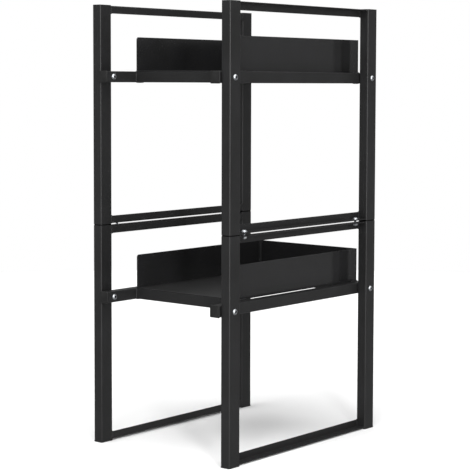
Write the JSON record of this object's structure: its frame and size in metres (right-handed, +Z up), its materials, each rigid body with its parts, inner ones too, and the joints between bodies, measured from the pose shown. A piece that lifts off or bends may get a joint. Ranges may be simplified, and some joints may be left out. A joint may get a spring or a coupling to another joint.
{
  "type": "storage rack",
  "caption": "Free-standing steel storage rack: two open side frames stacked on each other, tied by shelf carriers that hold open-front trays with raised guards.",
  "frame": {"origin": "on the floor, under the middle of the rack", "axes": "+X to the rack's right, +Y to its closed back, +Z up"},
  "size_m": [0.4176, 0.544, 1],
  "materials": {
    "powder_coat": "black semi-gloss powder coat",
    "black_plastic": "moulded, fine satin",
    "bright_zinc": "bright zinc plate"
  },
  "bodies": {
    "root": {"lower_front_left_post": "powder_coat", "lower_front_right_post": "powder_coat", "lower_back_left_post": "powder_coat", "lower_back_right_post": "powder_coat", "upper_front_left_post": "powder_coat", "upper_front_right_post": "powder_coat", "upper_back_left_post": "powder_coat", "upper_back_right_post": "powder_coat", "lower_left_bottom_bar": "powder_coat", "lower_left_top_bar": "powder_coat", "lower_right_bottom_bar": "powder_coat", "lower_right_top_bar": "powder_coat", "upper_left_bottom_bar": "powder_coat", "upper_left_top_bar": "powder_coat", "upper_right_bottom_bar": "powder_coat", "upper_right_top_bar": "powder_coat", "front_left_foot": "black_plastic", "front_left_joint_plug": "black_plastic", "front_left_top_plug": "black_plastic", "front_right_foot": "black_plastic", "front_right_joint_plug": "black_plastic", "front_right_top_plug": "black_plastic", "back_left_foot": "black_plastic", "back_left_joint_plug": "black_plastic", "back_left_top_plug": "black_plastic", "back_right_foot": "black_plastic", "back_right_joint_plug": "black_plastic", "back_right_top_plug": "black_plastic", "lower_left_rail": "powder_coat", "lower_right_rail": "powder_coat", "upper_left_rail": "powder_coat", "upper_right_rail": "powder_coat", "lower_left_rail_caps": "black_plastic", "lower_right_rail_caps": "black_plastic", "upper_left_rail_caps": "black_plastic", "upper_right_rail_caps": "black_plastic", "lower_front_crossbar": "powder_coat", "lower_back_crossbar": "powder_coat", "upper_front_crossbar": "powder_coat", "upper_back_crossbar": "powder_coat", "lower_tray_floor": "powder_coat", "lower_tray_guard": "powder_coat", "lower_rail_bolts": "bright_zinc", "lower_rail_nuts": "bright_zinc", "upper_tray_floor": "powder_coat", "upper_tray_guard": "powder_coat", "upper_rail_bolts": "bright_zinc", "upper_rail_nuts": "bright_zinc", "left_frame_bolts": "bright_zinc", "left_frame_washers": "bright_zinc", "left_frame_nuts": "bright_zinc", "right_frame_bolts": "bright_zinc", "right_frame_washers": "bright_zinc", "right_frame_nuts": "bright_zinc"}
  },
  "joints": []
}
